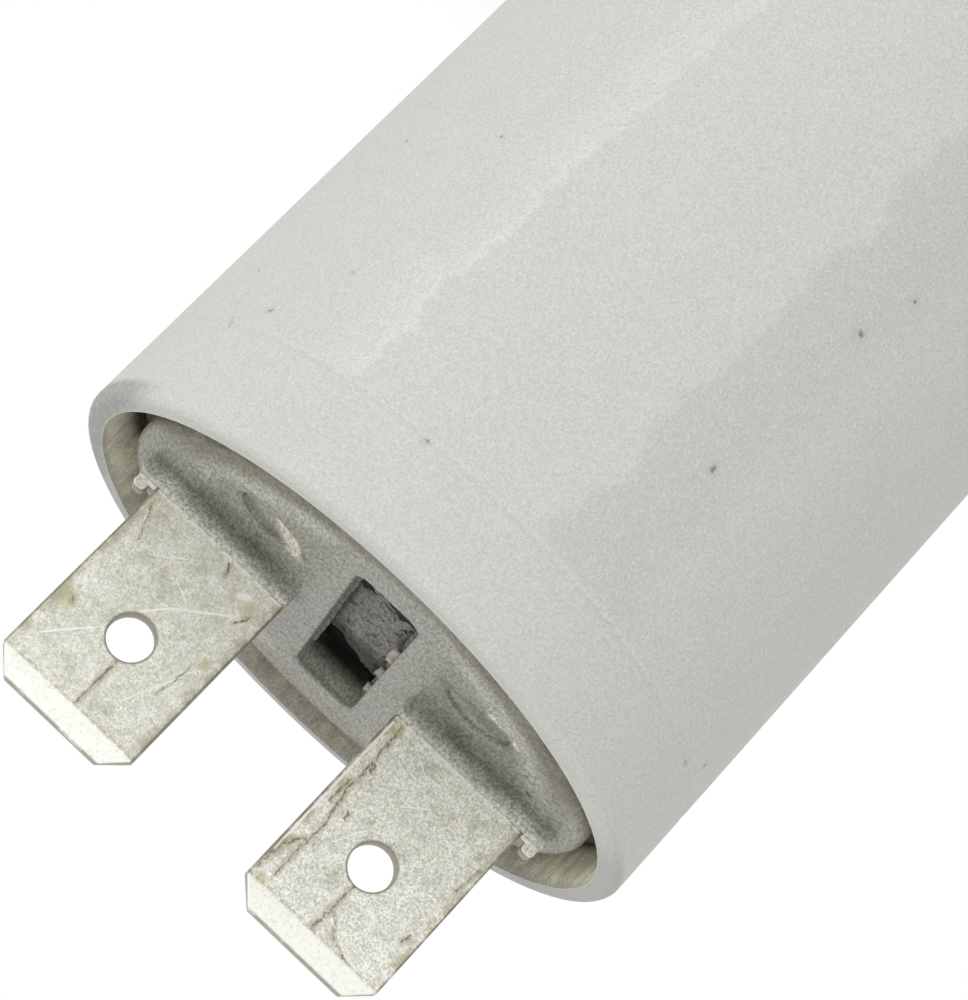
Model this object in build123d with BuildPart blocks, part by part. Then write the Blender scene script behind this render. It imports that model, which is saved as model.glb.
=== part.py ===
from build123d import *
import os
from math import radians, tan

# A motor capacitor in a white moulded can, standing on its closed end.
# Millimetres. +Z is the can's axis, towards the blades, with z = 0 at the flat bottom.
# +X is along the row of the two blades, and both blades lie in the XZ plane.

# Can
can_diameter = 26.0
can_height = 58.0
can_wall = 0.95
can_floor = 1.5
can_draft = 0.25
rim_round = 0.42
rim_inner_round = 0.1
base_round = 1.2
ring_depth = 4.0
ring_width = 0.35
ring_sink = 0.08
mouth_depth = 6.0
ledge_width = 0.35
stand_rib_height = 2.3
stand_rib_width = 1.2
stand_rib_length = 6.0
stand_rib_count = 3

# Lid
lid_clearance = 0.1
lid_drop = 0.5
lid_plate = 1.8
lid_shoulder = 0.4
rim_gap = 1.08
rim_gap_depth = 2.2
skirt_wall = 1.6
slot_width = 2.93
slot_length = 15.0
slot_corner = 0.7
slot_edge_round = 0.12
seat_height = 0.8
seat_width = 1.2
seat_overhang = 0.95
seat_round = 0.18
sink_depth = 0.18
sink_slope = 68.0
sink_soft = 1.0
sink_land = 1.72
sink_inner_edge = 3.0
sink_corner = 2.8
eject_diameter = 3.0
eject_depth = 0.12
eject_x = 4.95
eject_y = 4.1
slit_clearance = 0.04

# Blades
blade_pitch = 11.9
blade_width = 6.3
blade_thickness = 0.8
blade_height = 8.85
blade_hole_diameter = 1.8
hole_from_tip = 4.15
tip_cut = 0.95
tip_bevel_length = 1.0
tip_edge = 0.34
ear_notch = 0.3
ear_width = 0.55
ear_height = 0.5
ear_round = 0.2
ear_bridge = 0.17
neck_inset = 0.6
tail_width = 3.6
tail_length = 3.8
tail_hole_diameter = 1.3
tail_round = 0.6

# Film roll and what joins it to the blades
resin_wall = 0.9
wrap_thickness = 0.15
core_diameter = 7.0
core_bore = 4.4
spray_thickness = 0.5
top_room = 11.0
wire_diameter = 0.9
wire_end_gap = 0.4
sleeve_diameter = 1.5
sleeve_end_gap = 0.3
sleeve_gap = 0.25
lead_bend = 1.8
top_foot_straight = 1.05
top_foot_proud = 0.2
bottom_foot_radius = 7.2
bottom_foot_cover = 0.8
solder_diameter = 2.8
solder_height = 1.5
solder_draft = 12.0
solder_round = 0.45
solder_film = 0.12
resin_rise_near = 0.9
resin_rise_middle = 0.63
resin_rise_far = 0.15

# Levels and radii worked out from the sizes above
can_radius = can_diameter / 2
mouth_radius = can_radius - can_wall
ledge_level = can_height - mouth_depth
cavity_radius = mouth_radius - ledge_width
cavity_floor_radius = cavity_radius - tan(radians(can_draft)) * (ledge_level - can_floor)
lid_radius = mouth_radius - lid_clearance
disc_radius = mouth_radius - rim_gap
flange_top = can_height - rim_gap_depth
sink_radius = disc_radius - sink_land
lid_top = can_height - lid_drop
lid_underside = lid_top - lid_plate
seat_top = lid_top + seat_height
blade_x = blade_pitch / 2
blade_inner_x = blade_x - blade_width / 2
blade_outer_x = blade_x + blade_width / 2
seat_outer_end = blade_outer_x + seat_overhang
blade_tip = seat_top + blade_height
hole_level = blade_tip - hole_from_tip
neck_width = blade_width - 2 * neck_inset
tail_end = lid_underside - tail_length
roll_radius = cavity_floor_radius - resin_wall
film_radius = roll_radius - wrap_thickness
roll_bottom = can_floor + stand_rib_height
film_bottom = roll_bottom + spray_thickness
roll_top = lid_top - top_room
film_top = roll_top - spray_thickness
wire_side_y = (blade_thickness + wire_diameter) / 2 + solder_film
wire_over_roll = roll_top + wire_diameter / 2 + solder_film
wire_under_roll = roll_bottom - sleeve_diameter / 2 - sleeve_gap
sleeve_over_roll = roll_top + sleeve_diameter / 2 + sleeve_gap
top_foot_end = blade_x + lead_bend + top_foot_straight
top_solder_x = top_foot_end - top_foot_proud - solder_diameter / 2
bottom_solder_x = bottom_foot_radius + bottom_foot_cover - solder_diameter / 2
wire_top = lid_underside - neck_inset - wire_end_gap

os.makedirs("parts", exist_ok=True)


def write(builder, name):
    """Label a finished piece and write it to its own file."""
    builder.part.label = name
    export_step(builder.part, f"parts/{name}.step")


# Can: one moulded cup with a rounded rim, a fine ring under it and standing ribs inside its floor
with BuildPart() as can:
    with BuildSketch(Plane.XZ) as can_profile:
        with BuildLine():
            Polyline(
                (0, 0),
                (can_radius, 0),
                (can_radius, can_height),
                (mouth_radius, can_height),
                (mouth_radius, ledge_level),
                (cavity_radius, ledge_level),
                (cavity_floor_radius, can_floor),
                (0, can_floor),
                close=True,
            )
        make_face()
        rim_inner_corner, rim_outer_corner = can_profile.vertices().group_by(Axis.Y)[-1].sort_by(Axis.X)
        fillet(rim_outer_corner, radius=min(rim_round, 0.8 * can_wall))
        fillet(rim_inner_corner, radius=min(rim_inner_round, 0.15 * can_wall))
        base_corner = can_profile.vertices().group_by(Axis.Y)[0].sort_by(Axis.X)[-1]
        fillet(base_corner, radius=base_round)
    revolve(axis=Axis.Z)
    with BuildSketch(Plane.XZ):
        with Locations((can_radius, can_height - ring_depth)):
            Polygon((0, ring_width / 2), (-ring_sink, 0), (0, -ring_width / 2), align=None)
    revolve(axis=Axis.Z, mode=Mode.SUBTRACT)
    with BuildSketch(Plane.XY.offset(can_floor)):
        with PolarLocations(roll_radius - stand_rib_length / 2, stand_rib_count, start_angle=90):
            Rectangle(stand_rib_length, stand_rib_width)
    extrude(amount=stand_rib_height)
write(can, "can")

# Lid: one moulded disc with a rounded shoulder, and round it a lower flange whose skirt stands on
# the can's ledge, so that a deep gap is left between the disc and the can's rim
with BuildPart() as lid:
    with BuildSketch(Plane.XZ) as lid_profile:
        with BuildLine():
            Polyline(
                (0, lid_top),
                (disc_radius, lid_top),
                (disc_radius, flange_top),
                (lid_radius, flange_top),
                (lid_radius, ledge_level),
                (lid_radius - skirt_wall, ledge_level),
                (lid_radius - skirt_wall, lid_underside),
                (0, lid_underside),
                close=True,
            )
        make_face()
        shoulder_corner = lid_profile.vertices().group_by(Axis.Y)[-1].sort_by(Axis.X)[-1]
        fillet(shoulder_corner, radius=lid_shoulder)
    revolve(axis=Axis.Z)

    # Shallow D-shaped sinks on both sides of each blade seat, with soft sloping sides
    with BuildSketch(Plane.XY.offset(lid_top)):
        for side_x in (1, -1):
            for side_y in (1, -1):
                with BuildSketch(mode=Mode.PRIVATE) as sink_plan:
                    with BuildLine():
                        corner_y = (sink_radius**2 - sink_inner_edge**2) ** 0.5
                        seat_y = seat_width / 2
                        outer_x = (sink_radius**2 - seat_y**2) ** 0.5
                        middle = Vector(1, 1).normalized() * sink_radius
                        Line((sink_inner_edge, seat_y), (sink_inner_edge, corner_y))
                        ThreePointArc((sink_inner_edge, corner_y), (middle.X, middle.Y), (outer_x, seat_y))
                        Line((outer_x, seat_y), (sink_inner_edge, seat_y))
                    make_face()
                    sink_reach = sink_radius - sink_inner_edge
                    top_corner = sink_plan.vertices().sort_by(Axis.Y)[-1]
                    fillet(top_corner, radius=min(sink_corner, 0.45 * sink_reach))
                plan = sink_plan.sketch
                if side_x < 0:
                    plan = mirror(plan, about=Plane.YZ, mode=Mode.PRIVATE)
                if side_y < 0:
                    plan = mirror(plan, about=Plane.XZ, mode=Mode.PRIVATE)
                add(plan)
    extrude(amount=-sink_depth, taper=sink_slope, mode=Mode.SUBTRACT)
    for level in (lid_top - sink_depth, lid_top):
        sink_outlines = [
            edge
            for edge in lid.edges().filter_by(Plane.XY)
            if abs(edge.center().Z - level) < 0.001
            and (edge @ 0).X ** 2 + (edge @ 0).Y ** 2 < (sink_radius + 0.01) ** 2
        ]
        fillet(sink_outlines, radius=sink_soft)
    with BuildSketch(Plane.XY.offset(lid_top)):
        with GridLocations(2 * eject_x, 2 * eject_y, 2, 2):
            Circle(eject_diameter / 2)
    extrude(amount=-(sink_depth + eject_depth), mode=Mode.SUBTRACT)

    # Raised seats that the blades stand in
    seat_length = seat_outer_end - blade_inner_x
    with BuildSketch(Plane.XY.offset(lid_underside)):
        for side in (1, -1):
            with Locations((side * (blade_inner_x + seat_length / 2), 0)):
                Rectangle(seat_length, seat_width)
    extrude(amount=seat_top - lid_underside)
    fillet(lid.edges().filter_by(Plane.XY).group_by(Axis.Z)[-1], radius=seat_round)

    # Fill slot through the plate, with softened top edges
    with BuildSketch(Plane.XY.offset(lid_top)):
        RectangleRounded(slot_width, slot_length, slot_corner)
    extrude(amount=-lid_plate, mode=Mode.SUBTRACT)
    slot_rim = [
        edge
        for edge in lid.edges().filter_by(Plane.XY)
        if abs(edge.center().Z - lid_top) < 0.001
        and abs(edge.center().X) < slot_width / 2 + 0.01
        and abs(edge.center().Y) < slot_length / 2 + 0.01
    ]
    fillet(slot_rim, radius=slot_edge_round)

    # A slit through each seat for the blade's neck
    with BuildSketch(Plane.XY.offset(seat_top)):
        with GridLocations(blade_pitch, 0, 2, 1):
            Rectangle(neck_width + 2 * slit_clearance, blade_thickness + 2 * slit_clearance)
    extrude(amount=lid_underside - seat_top, mode=Mode.SUBTRACT)
write(lid, "lid")

# Blades: one pressed strip each, with a bevelled tip, a round hole, an ear that stands on the
# lid's seat at the outer side, a neck through the lid and a soldering tail below it
blades = {}
for name, side in (("blade_right", 1), ("blade_left", -1)):
    with BuildPart() as blade:
        with BuildSketch(Plane.XZ) as blank:
            with Locations((blade_x, (seat_top + blade_tip) / 2)):
                Rectangle(blade_width, blade_height)
            chamfer(blank.vertices().group_by(Axis.Y)[-1], length=tip_cut)
            with BuildSketch(mode=Mode.PRIVATE) as ear:
                ear_x = blade_outer_x + ear_notch + ear_width / 2
                with Locations((ear_x, seat_top + ear_height / 2)):
                    Rectangle(ear_width, ear_height)
                fillet(ear.vertices().group_by(Axis.Y)[-1], radius=ear_round)
            add(ear.sketch)
            with Locations((blade_outer_x + ear_notch / 2, seat_top + ear_bridge / 2)):
                Rectangle(ear_notch, ear_bridge)
            neck_bottom = lid_underside - neck_inset
            with Locations((blade_x, (seat_top + neck_bottom) / 2)):
                Rectangle(neck_width, seat_top - neck_bottom)
            with BuildSketch(mode=Mode.PRIVATE) as tail:
                with Locations((blade_x, (neck_bottom + tail_end) / 2)):
                    Rectangle(tail_width, neck_bottom - tail_end)
                fillet(tail.vertices().group_by(Axis.Y)[0], radius=tail_round)
            add(tail.sketch)
            with Locations((blade_x, hole_level)):
                Circle(blade_hole_diameter / 2, mode=Mode.SUBTRACT)
            with Locations((blade_x, tail_end + tail_width / 2)):
                Circle(tail_hole_diameter / 2, mode=Mode.SUBTRACT)
        extrude(amount=blade_thickness / 2, both=True)
        with BuildSketch(Plane.YZ) as bevel:
            for face in (1, -1):
                with BuildLine():
                    Polyline(
                        (face * tip_edge / 2, blade_tip),
                        (face * blade_thickness / 2, blade_tip - tip_bevel_length),
                        (face * blade_thickness, blade_tip - tip_bevel_length),
                        (face * blade_thickness, blade_tip),
                        close=True,
                    )
                make_face()
        extrude(amount=can_diameter, both=True, mode=Mode.SUBTRACT)
        if side < 0:
            mirror(about=Plane.YZ, mode=Mode.REPLACE)
    blades[name] = blade
    write(blade, name)

# Film roll: core tube, wound film, the wrap that closes it and the sprayed metal ends
with BuildPart() as winding_core:
    with BuildSketch(Plane.XY.offset(roll_bottom)):
        Circle(core_diameter / 2)
        Circle(core_bore / 2, mode=Mode.SUBTRACT)
    extrude(amount=roll_top - roll_bottom)
write(winding_core, "winding_core")

with BuildPart() as film_winding:
    with BuildSketch(Plane.XY.offset(film_bottom)):
        Circle(film_radius)
        Circle(core_diameter / 2, mode=Mode.SUBTRACT)
    extrude(amount=film_top - film_bottom)
write(film_winding, "film_winding")

with BuildPart() as outer_wrap:
    with BuildSketch(Plane.XY.offset(film_bottom)):
        Circle(roll_radius)
        Circle(film_radius, mode=Mode.SUBTRACT)
    extrude(amount=film_top - film_bottom)
write(outer_wrap, "outer_wrap")

for name, level in (("end_spray_bottom", roll_bottom), ("end_spray_top", film_top)):
    with BuildPart() as end_spray:
        with BuildSketch(Plane.XY.offset(level)):
            Circle(film_radius)
            Circle(core_diameter / 2, mode=Mode.SUBTRACT)
        extrude(amount=spray_thickness)
    write(end_spray, name)

# Leads: a bare wire end to end, inside an insulating sleeve that leaves both ends free.
# The top lead runs from the roll's top end to the right blade. The bottom lead runs under the
# roll, up through its core and over to the left blade.
top_lead_points = [
    (top_foot_end, wire_side_y, wire_over_roll),
    (blade_x, wire_side_y, wire_over_roll),
    (blade_x, wire_side_y, wire_top),
]
bottom_lead_points = [
    (bottom_foot_radius, 0, wire_under_roll),
    (0, 0, wire_under_roll),
    (0, 0, sleeve_over_roll),
    (-blade_x, wire_side_y, sleeve_over_roll),
    (-blade_x, wire_side_y, wire_top),
]
leads = {}
for name, wire_points in (("lead_top", top_lead_points), ("lead_bottom", bottom_lead_points)):
    with BuildPart() as wire:
        with BuildLine():
            wire_path = FilletPolyline(*wire_points, radius=lead_bend)
        with BuildSketch(Plane(origin=wire_path @ 0, z_dir=wire_path % 0)):
            Circle(wire_diameter / 2)
        sweep(path=wire_path)
    leads[name] = wire
    write(wire, name)

sleeve_top = tail_end - sleeve_end_gap
top_sleeve_points = [
    (blade_x, wire_side_y, wire_over_roll + lead_bend + sleeve_end_gap),
    (blade_x, wire_side_y, sleeve_top),
]
bottom_sleeve_points = [
    (bottom_solder_x - solder_diameter / 2 - sleeve_end_gap, 0, wire_under_roll),
    *bottom_lead_points[1:-1],
    (-blade_x, wire_side_y, sleeve_top),
]
sleeve_paths = {
    "sleeve_top": Edge.make_line(*top_sleeve_points),
    "sleeve_bottom": FilletPolyline(*bottom_sleeve_points, radius=lead_bend),
}
for name, sleeve_path in sleeve_paths.items():
    with BuildPart() as sleeve:
        with BuildSketch(Plane(origin=sleeve_path @ 0, z_dir=sleeve_path % 0)):
            Circle(sleeve_diameter / 2)
            Circle(wire_diameter / 2, mode=Mode.SUBTRACT)
        sweep(path=sleeve_path)
    leads[name] = sleeve
    write(sleeve, name)

# Solder joints: a small mound over each wire end, on the sprayed metal and on the blades' tails
tail_face = Plane.XZ.offset(-blade_thickness / 2)
solder_level = tail_end + tail_width / 2
solder_seats = {
    "solder_roll_top": (Plane.XY.offset(roll_top), (top_solder_x, wire_side_y), 1, "lead_top"),
    "solder_roll_bottom": (Plane.XY.offset(roll_bottom), (bottom_solder_x, 0), -1, "lead_bottom"),
    "solder_blade_right": (tail_face, (blade_x, solder_level), -1, "lead_top"),
    "solder_blade_left": (tail_face, (-blade_x, solder_level), -1, "lead_bottom"),
}
solders = {}
for name, (seat_plane, centre, side, wire_name) in solder_seats.items():
    with BuildPart() as solder:
        with BuildSketch(seat_plane):
            with Locations(centre):
                Circle(solder_diameter / 2)
        extrude(amount=side * solder_height, taper=solder_draft)
        top_edge = solder.edges().sort_by(lambda edge: side * seat_plane.to_local_coords(edge.center()).Z)[-1]
        fillet(top_edge, radius=solder_round)
        add(leads[wire_name].part, mode=Mode.SUBTRACT)
    solders[name] = solder
    write(solder, name)

# Potting resin: fills the can round the roll, the core and the space under the lid, and rises
# a little into the fill slot, less at the far end than at the near one
with BuildPart() as potting_resin:
    with BuildSketch(Plane.XZ):
        with BuildLine():
            Polyline(
                (0, can_floor),
                (cavity_floor_radius, can_floor),
                (cavity_radius, ledge_level),
                (lid_radius - skirt_wall, ledge_level),
                (lid_radius - skirt_wall, lid_underside),
                (0, lid_underside),
                close=True,
            )
        make_face()
    revolve(axis=Axis.Z)
    with BuildSketch(Plane.XY.offset(lid_underside)):
        RectangleRounded(slot_width, slot_length, slot_corner)
    extrude(amount=resin_rise_near)
    with BuildSketch(Plane.YZ):
        with BuildLine():
            end_y = slot_length / 2
            near = (-end_y, lid_underside + resin_rise_near)
            centre = (0, lid_underside + resin_rise_middle)
            far = (end_y, lid_underside + resin_rise_far)
            Spline(near, centre, far)
            Polyline(far, (end_y, lid_top), (-end_y, lid_top), near)
        make_face()
    extrude(amount=slot_width, both=True, mode=Mode.SUBTRACT)
    with BuildSketch(Plane.XY.offset(can_floor)):
        with PolarLocations(roll_radius - stand_rib_length / 2, stand_rib_count, start_angle=90):
            Rectangle(stand_rib_length, stand_rib_width)
    extrude(amount=stand_rib_height, mode=Mode.SUBTRACT)
    with BuildSketch(Plane.XY.offset(film_bottom)):
        Circle(roll_radius)
        Circle(core_bore / 2, mode=Mode.SUBTRACT)
    extrude(amount=film_top - film_bottom, mode=Mode.SUBTRACT)
    for level in (roll_bottom, film_top):
        with BuildSketch(Plane.XY.offset(level)):
            Circle(film_radius)
            Circle(core_bore / 2, mode=Mode.SUBTRACT)
        extrude(amount=spray_thickness, mode=Mode.SUBTRACT)
    for cast_in in (*leads.values(), *solders.values(), *blades.values()):
        add(cast_in.part, mode=Mode.SUBTRACT)
write(potting_resin, "potting_resin")
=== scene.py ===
"""The looks of a motor capacitor: a film roll cast in resin in a white can, with two tinned blades."""

from math import cos, pi, radians, sin

import bpy
from mathutils import Matrix, Vector


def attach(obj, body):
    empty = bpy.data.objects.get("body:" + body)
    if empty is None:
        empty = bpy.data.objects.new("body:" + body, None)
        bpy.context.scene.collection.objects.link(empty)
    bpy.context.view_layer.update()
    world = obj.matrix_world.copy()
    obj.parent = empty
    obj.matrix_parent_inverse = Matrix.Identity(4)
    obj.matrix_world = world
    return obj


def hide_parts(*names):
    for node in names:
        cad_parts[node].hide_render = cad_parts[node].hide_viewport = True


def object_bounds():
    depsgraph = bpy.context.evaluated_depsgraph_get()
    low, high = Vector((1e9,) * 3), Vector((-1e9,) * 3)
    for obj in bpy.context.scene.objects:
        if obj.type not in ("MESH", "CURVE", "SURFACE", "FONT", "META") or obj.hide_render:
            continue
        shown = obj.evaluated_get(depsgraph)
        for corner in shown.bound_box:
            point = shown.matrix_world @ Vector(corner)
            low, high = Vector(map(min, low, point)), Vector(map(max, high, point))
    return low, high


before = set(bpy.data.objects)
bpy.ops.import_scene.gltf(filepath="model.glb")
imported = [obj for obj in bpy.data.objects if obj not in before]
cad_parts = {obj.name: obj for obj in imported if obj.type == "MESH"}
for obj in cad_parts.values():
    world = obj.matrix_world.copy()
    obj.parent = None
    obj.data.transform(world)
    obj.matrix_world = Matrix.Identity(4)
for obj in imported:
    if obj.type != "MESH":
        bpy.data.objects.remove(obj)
cad_low, cad_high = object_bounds()
bpy.ops.object.select_all(action="DESELECT")


# Winding core
# A short moulded tube of natural plastic, the first thing on the winding machine. The film is
# wound straight onto it, and the bottom lead later comes up through its bore.
def connect(tree, value, socket):
    """Link a socket's output to an input, or set the input's own value."""
    if isinstance(value, bpy.types.NodeSocket):
        tree.links.new(value, socket)
    else:
        socket.default_value = value


def calculate_place(tree, operation, *places, scale=None):
    """One step of arithmetic on places. A length, distance or dot product comes out as a number."""
    step = tree.nodes.new("ShaderNodeVectorMath")
    step.operation = operation
    for socket, value in zip(step.inputs, places):
        connect(tree, value, socket)
    if scale is not None:
        connect(tree, scale, step.inputs["Scale"])
    gives_number = operation in ("LENGTH", "DISTANCE", "DOT_PRODUCT")
    return step.outputs["Value" if gives_number else "Vector"]


def start_finish(name, **shader_values):
    """Make a material and return it with its node tree, its shader and its place in millimetres."""
    finish = bpy.data.materials.new(name)
    finish.use_nodes = True
    tree = finish.node_tree
    shader = tree.nodes["Principled BSDF"]
    for socket, value in shader_values.items():
        shader.inputs[socket.replace("_", " ")].default_value = value
    coordinates = tree.nodes.new("ShaderNodeTexCoord")
    place = calculate_place(tree, "SCALE", coordinates.outputs["Object"], scale=1000.0)
    return finish, tree, shader, place


def calculate(tree, operation, first, second=0.0, third=0.0):
    """One step of arithmetic on numbers."""
    step = tree.nodes.new("ShaderNodeMath")
    step.operation = operation
    for socket, value in zip(step.inputs, (first, second, third)):
        connect(tree, value, socket)
    return step.outputs[0]


def fade(tree, value, start, end, low=0.0, high=1.0):
    """A smooth change from low to high while value goes from start to end."""
    step = tree.nodes.new("ShaderNodeMapRange")
    step.interpolation_type = "SMOOTHSTEP"
    connect(tree, value, step.inputs["Value"])
    for socket, number in (("From Min", start), ("From Max", end), ("To Min", low), ("To Max", high)):
        connect(tree, number, step.inputs[socket])
    return step.outputs["Result"]


def stretched(tree, place, scale=(1, 1, 1), shift=(0, 0, 0), turn=(0, 0, 0)):
    """A place that is moved, turned and scaled before a pattern reads it."""
    mapping = tree.nodes.new("ShaderNodeMapping")
    mapping.inputs["Scale"].default_value = scale
    mapping.inputs["Location"].default_value = shift
    mapping.inputs["Rotation"].default_value = turn
    tree.links.new(place, mapping.inputs["Vector"])
    return mapping.outputs["Vector"]


def mottle(tree, place, grain, detail=4.0, roughness=0.55, distortion=0.0):
    """Cloudy noise from 0 to 1 whose spots are about grain millimetres wide."""
    noise = tree.nodes.new("ShaderNodeTexNoise")
    noise.inputs["Scale"].default_value = 1.0 / grain
    noise.inputs["Detail"].default_value = detail
    noise.inputs["Roughness"].default_value = roughness
    noise.inputs["Distortion"].default_value = distortion
    tree.links.new(place, noise.inputs["Vector"])
    return noise.outputs["Fac"]


def blend(tree, share, first, second):
    """A colour between two colours."""
    mix = tree.nodes.new("ShaderNodeMix")
    mix.data_type = "RGBA"
    connect(tree, share, mix.inputs["Factor"])
    for socket, colour in ((mix.inputs[6], first), (mix.inputs[7], second)):
        connect(tree, colour, socket)
    return mix.outputs[2]


def raise_surface(tree, shader, height, depth, before=None):
    """Bump of the given depth in millimetres, on top of an earlier one if there is one."""
    bump = tree.nodes.new("ShaderNodeBump")
    bump.inputs["Distance"].default_value = depth / 1000.0
    tree.links.new(height, bump.inputs["Height"])
    if before is not None:
        tree.links.new(before, bump.inputs["Normal"])
    tree.links.new(bump.outputs["Normal"], shader.inputs["Normal"])
    return bump.outputs["Normal"]


def dress(node_name, finish):
    """Give a carried-over node its finish."""
    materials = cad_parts[node_name].data.materials
    materials.clear()
    materials.append(finish)


core_natural = (0.70, 0.66, 0.54, 1)
core_shade = (0.58, 0.54, 0.42, 1)
core_finish, tree, shader, place = start_finish("core_plastic", Roughness=0.42)
flow = mottle(tree, stretched(tree, place, scale=(1, 1, 0.2)), 1.5)
tree.links.new(blend(tree, flow, core_natural, core_shade), shader.inputs["Base Color"])
raise_surface(tree, shader, mottle(tree, place, 0.2), 0.01)
dress("winding_core", core_finish)


# Film winding
# Two metallised films wound together, hundreds of turns thick. Edge-on the turns read as fine
# rings, and round the outside as one smooth grey metallic skin.
film_light = (0.56, 0.58, 0.60, 1)
film_dark = (0.34, 0.36, 0.38, 1)
turn_thickness = 0.16
film_finish, tree, shader, place = start_finish("metallised_film", Roughness=0.3, Metallic=0.7)
rings = tree.nodes.new("ShaderNodeTexWave")
rings.wave_type = "RINGS"
rings.rings_direction = "Z"
rings.inputs["Scale"].default_value = 1.0 / turn_thickness / pi
rings.inputs["Distortion"].default_value = 1.2
tree.links.new(place, rings.inputs["Vector"])
tree.links.new(blend(tree, rings.outputs["Fac"], film_light, film_dark), shader.inputs["Base Color"])
raise_surface(tree, shader, rings.outputs["Fac"], 0.01)
dress("film_winding", film_finish)


# Outer wrap
# A few turns of plain clear film close the roll. Wound tight, it looks milky over the metal,
# with faint creases that run round it.
wrap_milky = (0.72, 0.74, 0.73, 1)
wrap_creased = (0.60, 0.62, 0.62, 1)
wrap_finish, tree, shader, place = start_finish("clear_wrap", Roughness=0.2, Coat_Weight=0.3)
crease = mottle(tree, stretched(tree, place, scale=(0.3, 0.3, 2)), 1.2)
tree.links.new(blend(tree, crease, wrap_milky, wrap_creased), shader.inputs["Base Color"])
raise_surface(tree, shader, crease, 0.02)
dress("outer_wrap", wrap_finish)


# Sprayed ends
# Zinc is sprayed on both ends of the roll and joins all turns of each film. It is a grainy,
# matt grey layer half a millimetre thick.
zinc_dark = (0.30, 0.30, 0.29, 1)
zinc_light = (0.62, 0.62, 0.60, 1)
spray_finish, tree, shader, place = start_finish("sprayed_zinc", Roughness=0.68, Metallic=0.8)
grains = mottle(tree, place, 0.12, detail=6.0, roughness=0.7)
tree.links.new(blend(tree, grains, zinc_dark, zinc_light), shader.inputs["Base Color"])
raise_surface(tree, shader, grains, 0.08)
dress("end_spray_bottom", spray_finish)
dress("end_spray_top", spray_finish)


# Leads
# Tinned copper strands, twisted, one from each sprayed end to its blade. The strands show as
# fine slanted ridges.
strand_pitch = 0.3
strand_dark = (0.40, 0.39, 0.36, 1)
strand_light = (0.66, 0.66, 0.62, 1)
wire_finish, tree, shader, place = start_finish("tinned_strands", Roughness=0.33, Metallic=1.0)
strands = tree.nodes.new("ShaderNodeTexWave")
strands.bands_direction = "DIAGONAL"
strands.inputs["Scale"].default_value = 1.0 / strand_pitch / pi
tree.links.new(place, strands.inputs["Vector"])
tree.links.new(blend(tree, strands.outputs["Fac"], strand_dark, strand_light), shader.inputs["Base Color"])
raise_surface(tree, shader, strands.outputs["Fac"], 0.05)
dress("lead_top", wire_finish)
dress("lead_bottom", wire_finish)


# Sleeves
# Extruded dark insulation over each lead, smooth, with the faint lengthwise lines of the die.
sleeve_dark = (0.020, 0.022, 0.030, 1)
sleeve_line = (0.034, 0.036, 0.045, 1)
sleeve_finish, tree, shader, place = start_finish("lead_sleeve", Roughness=0.35)
die_lines = mottle(tree, stretched(tree, place, scale=(3, 3, 0.15)), 0.5)
tree.links.new(blend(tree, die_lines, sleeve_dark, sleeve_line), shader.inputs["Base Color"])
raise_surface(tree, shader, die_lines, 0.015)
dress("sleeve_top", sleeve_finish)
dress("sleeve_bottom", sleeve_finish)


# Solder joints
# A mound of solder over each wire end. It froze bright with a slightly wrinkled skin, dull in
# patches where flux stayed.
solder_dull = (0.48, 0.48, 0.47, 1)
solder_bright = (0.72, 0.72, 0.70, 1)
solder_finish, tree, shader, place = start_finish("solder", Metallic=1.0)
skin = mottle(tree, place, 0.5, detail=3.0)
tree.links.new(blend(tree, skin, solder_dull, solder_bright), shader.inputs["Base Color"])
tree.links.new(fade(tree, skin, 0.35, 0.65, 0.2, 0.5), shader.inputs["Roughness"])
raise_surface(tree, shader, skin, 0.06)
for joint in ("solder_roll_top", "solder_roll_bottom", "solder_blade_left", "solder_blade_right"):
    dress(joint, solder_finish)


# Blades
# Two push-on blades pressed from tin-plated brass strip, with a bevelled tip, a round hole and a
# small ear at the lid. The punch left their edges slightly round, and the dull tin is speckled,
# scratched along the strip and stained where it was handled.
def axes(tree, place):
    """The three numbers of a place."""
    parts = tree.nodes.new("ShaderNodeSeparateXYZ")
    tree.links.new(place, parts.inputs[0])
    return parts.outputs["X"], parts.outputs["Y"], parts.outputs["Z"]


def all_of(tree, *shares):
    """The product of several shares."""
    product = shares[0]
    for share in shares[1:]:
        product = calculate(tree, "MULTIPLY", product, share)
    return product


def most_of(tree, *shares):
    """The largest of several shares."""
    largest = shares[0]
    for share in shares[1:]:
        largest = calculate(tree, "MAXIMUM", largest, share)
    return largest


def flat_place(tree, across, along):
    """A place on a surface from two numbers in millimetres."""
    joined = tree.nodes.new("ShaderNodeCombineXYZ")
    connect(tree, across, joined.inputs["X"])
    connect(tree, along, joined.inputs["Y"])
    return joined.outputs[0]


def stroke(tree, surface, start, end, width):
    """1 along a straight mark from start to end, fading to 0 at half its width."""
    along = Vector((end[0] - start[0], end[1] - start[1], 0))
    from_start = calculate_place(tree, "SUBTRACT", surface, (*start, 0))
    reach = calculate_place(tree, "DOT_PRODUCT", from_start, along / along.length_squared)
    share = calculate(tree, "MINIMUM", calculate(tree, "MAXIMUM", reach, 0.0), 1.0)
    nearest = calculate_place(tree, "SCALE", along, scale=share)
    gap = calculate_place(tree, "DISTANCE", from_start, nearest)
    return fade(tree, gap, 0.15 * width, 0.5 * width, 1.0, 0.0)


def spot(tree, surface, centre, radius, softness=0.4):
    """1 on a round spot, fading to 0 at its edge."""
    gap = calculate_place(tree, "DISTANCE", surface, (*centre, 0))
    return fade(tree, gap, (1 - softness) * radius, radius, 1.0, 0.0)


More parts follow.
